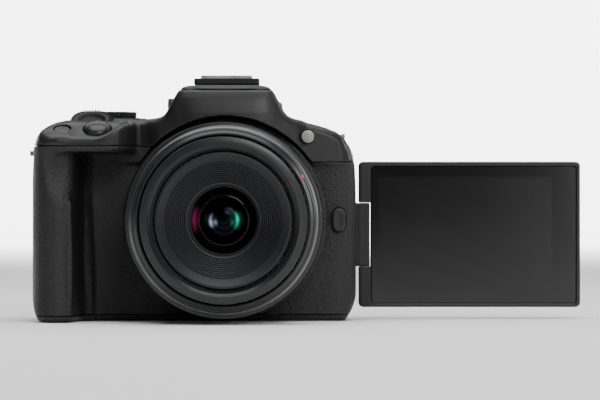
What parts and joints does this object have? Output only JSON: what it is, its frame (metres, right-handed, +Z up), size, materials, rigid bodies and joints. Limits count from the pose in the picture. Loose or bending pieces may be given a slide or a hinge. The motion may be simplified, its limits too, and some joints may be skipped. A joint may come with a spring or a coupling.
{
  "type": "mirrorless camera",
  "caption": "Compact interchangeable-lens camera with a hinged side screen, pop-up flash, hand grip and a short retracting zoom lens.",
  "frame": {"origin": "on the flat base, straight below the lens axis, in the plane of the image sensor", "axes": "+Z up, the lens looks along -Y, +X points to the side that the screen is hinged on"},
  "size_m": [0.202, 0.0913, 0.089],
  "materials": {
    "texture_black": "fine leather-like grain moulded into black plastic",
    "satin_black": "smooth satin black moulded plastic",
    "matte_black": "flat black moulded plastic",
    "gloss_black": "polished black plastic",
    "screen_black": "dark glossy display cover",
    "rubber_black": "soft black rubber",
    "lens_black": "satin black moulded plastic with fine turning lines",
    "lens_texture": "black plastic ring with a knurled rim",
    "bright_metal": "brushed bright metal",
    "dark_metal": "dark grey die-cast frame",
    "board_green": "green circuit board",
    "coated_glass": "coated optical glass",
    "clear_window": "frosted clear plastic window",
    "lamp_grey": "milky grey lens"
  },
  "bodies": {
    "camera_body": {"front_cover": "texture_black", "grip_skin": "texture_black", "rear_cover": "texture_black", "top_cover": "satin_black", "bottom_plate": "texture_black", "mount_ring": "bright_metal", "chassis": "dark_metal", "shutter_frame": "dark_metal", "sensor": "gloss_black", "main_board": "board_green", "battery": "matte_black", "memory_card": "matte_black", "viewfinder_housing": "matte_black", "eyecup": "rubber_black", "eyepiece_lens": "coated_glass", "hot_shoe_base": "matte_black", "hot_shoe_rails": "bright_metal", "tripod_socket": "bright_metal", "strap_lug_left": "bright_metal", "strap_lug_right": "bright_metal", "af_lamp": "lamp_grey", "data_socket": "bright_metal", "lens_mount_plate": "bright_metal", "lens_barrel": "lens_black", "lens_bezel": "lens_black", "rear_element": "coated_glass", "rear_cell": "matte_black"},
    "hinge_arm": {"hinge_arm": "satin_black"},
    "screen": {"screen_housing": "satin_black", "screen_glass": "screen_black"},
    "flash": {"flash_head": "satin_black", "flash_window": "clear_window"},
    "battery_door": {"battery_door": "texture_black"},
    "door_latch": {"door_latch": "matte_black"},
    "port_cover": {"port_cover": "rubber_black"},
    "zoom_ring": {"zoom_ring": "lens_texture"},
    "control_ring": {"control_ring": "lens_texture"},
    "lens_inner": {"front_barrel": "lens_black", "filter_ring": "lens_black", "name_ring": "matte_black", "front_cell": "matte_black", "front_element": "coated_glass", "iris": "matte_black"},
    "focus_group": {"focus_cell": "coated_glass"},
    "shutter_curtain": {"shutter_curtain": "matte_black"},
    "lens_release_button": {"lens_release_button": "satin_black"},
    "lens_lock_pin": {"lens_lock_pin": "bright_metal"},
    "main_dial": {"main_dial": "satin_black"},
    "mode_dial": {"mode_dial": "satin_black"},
    "power_switch": {"power_switch": "satin_black"},
    "dioptre_dial": {"dioptre_dial": "satin_black"},
    "shutter_button": {"shutter_button": "gloss_black"},
    "record_button": {"record_button": "gloss_black"},
    "ae_lock_button": {"ae_lock_button": "satin_black"},
    "af_point_button": {"af_point_button": "satin_black"},
    "info_button": {"info_button": "satin_black"},
    "playback_button": {"playback_button": "satin_black"},
    "menu_button": {"menu_button": "satin_black"},
    "control_pad": {"control_pad": "satin_black"},
    "set_button": {"set_button": "satin_black"}
  },
  "joints": [
    {"name": "screen_swing", "type": "hinge", "parent": "camera_body", "child": "hinge_arm", "pos_m": [0.0441, 0.0145, 0.0308], "axis": [0, 0, 1], "range_deg": [0, 180]},
    {"name": "screen_tilt", "type": "hinge", "parent": "hinge_arm", "child": "screen", "pos_m": [0.052, 0.0145, 0.0308], "axis": [1, 0, 0], "range_deg": [-270, 0]},
    {"name": "flash_raise", "type": "hinge", "parent": "camera_body", "child": "flash", "pos_m": [0, -0.0053, 0.08435], "axis": [-1, 0, 0], "range_deg": [0, 60]},
    {"name": "battery_door_hinge", "type": "hinge", "parent": "camera_body", "child": "battery_door", "pos_m": [-0.0436, -0.008, 0.0001], "axis": [0, -1, 0], "range_deg": [0, 100]},
    {"name": "door_latch_slide", "type": "slide", "parent": "battery_door", "child": "door_latch", "axis": [0, 1, 0], "range_m": [0, 0.002]},
    {"name": "port_cover_hinge", "type": "hinge", "parent": "camera_body", "child": "port_cover", "pos_m": [-0.0685, 0.0028, 0.031], "axis": [0, 0, -1], "range_deg": [0, 110]},
    {"name": "zoom_turn", "type": "hinge", "parent": "camera_body", "child": "zoom_ring", "pos_m": [0, -0.037, 0.0363], "axis": [0, -1, 0], "range_deg": [0, 100]},
    {"name": "lens_extend", "type": "slide", "parent": "camera_body", "child": "lens_inner", "axis": [0, -1, 0], "range_m": [0, 0.0201]},
    {"name": "focus_slide", "type": "slide", "parent": "lens_inner", "child": "focus_group", "axis": [0, -1, 0], "range_m": [0, 0.003]},
    {"name": "control_turn", "type": "hinge", "parent": "camera_body", "child": "control_ring", "pos_m": [0, -0.051, 0.0363], "axis": [0, -1, 0], "continuous": true},
    {"name": "shutter_curtain_slide", "type": "slide", "parent": "camera_body", "child": "shutter_curtain", "axis": [0, 0, -1], "range_m": [0, 0.018], "stiffness_N_per_m": 2, "springref_m": -0.01},
    {"name": "lens_release_press", "type": "slide", "parent": "camera_body", "child": "lens_release_button", "axis": [0, 1, 0], "range_m": [0, 0.002], "stiffness_N_per_m": 300},
    {"name": "lock_pin_retract", "type": "slide", "parent": "camera_body", "child": "lens_lock_pin", "axis": [0, 1, 0], "range_m": [0, 0.002]},
    {"name": "main_dial_turn", "type": "hinge", "parent": "camera_body", "child": "main_dial", "pos_m": [-0.0485, -0.015, 0.071], "axis": [0, -0.4695, 0.8829], "continuous": true},
    {"name": "mode_dial_turn", "type": "hinge", "parent": "camera_body", "child": "mode_dial", "pos_m": [-0.0419, 0.005, 0.074], "axis": [0, 0, 1], "continuous": true},
    {"name": "power_switch_turn", "type": "hinge", "parent": "camera_body", "child": "power_switch", "pos_m": [-0.0419, 0.005, 0.073], "axis": [0, 0, 1], "range_deg": [0, 30]},
    {"name": "dioptre_turn", "type": "hinge", "parent": "camera_body", "child": "dioptre_dial", "pos_m": [-0.021, 0.016, 0.078], "axis": [-1, 0, 0], "range_deg": [-120, 120]},
    {"name": "shutter_button_press", "type": "slide", "parent": "camera_body", "child": "shutter_button", "axis": [0, 0.4695, -0.8829], "range_m": [0, 0.0012], "stiffness_N_per_m": 200},
    {"name": "record_button_press", "type": "slide", "parent": "camera_body", "child": "record_button", "axis": [0, 0.4695, -0.8829], "range_m": [0, 0.0005], "stiffness_N_per_m": 250},
    {"name": "ae_lock_button_press", "type": "slide", "parent": "camera_body", "child": "ae_lock_button", "axis": [0, -1, 0], "range_m": [0, 0.0006], "stiffness_N_per_m": 250},
    {"name": "af_point_button_press", "type": "slide", "parent": "camera_body", "child": "af_point_button", "axis": [0, -1, 0], "range_m": [0, 0.0006], "stiffness_N_per_m": 250},
    {"name": "info_button_press", "type": "slide", "parent": "camera_body", "child": "info_button", "axis": [0, -1, 0], "range_m": [0, 0.0006], "stiffness_N_per_m": 250},
    {"name": "playback_button_press", "type": "slide", "parent": "camera_body", "child": "playback_button", "axis": [0, -1, 0], "range_m": [0, 0.0006], "stiffness_N_per_m": 250},
    {"name": "menu_button_press", "type": "slide", "parent": "camera_body", "child": "menu_button", "axis": [0, -1, 0], "range_m": [0, 0.0006], "stiffness_N_per_m": 250},
    {"name": "control_pad_press", "type": "slide", "parent": "camera_body", "child": "control_pad", "axis": [0, -1, 0], "range_m": [0, 0.0005], "stiffness_N_per_m": 250},
    {"name": "set_button_press", "type": "slide", "parent": "camera_body", "child": "set_button", "axis": [0, -1, 0], "range_m": [0, 0.0006], "stiffness_N_per_m": 250}
  ],
  "couplings": [
    {"joint": "lens_extend", "follows": "zoom_turn", "m_per_rad": 0.011459},
    {"joint": "lock_pin_retract", "follows": "lens_release_press", "ratio": 1}
  ]
}
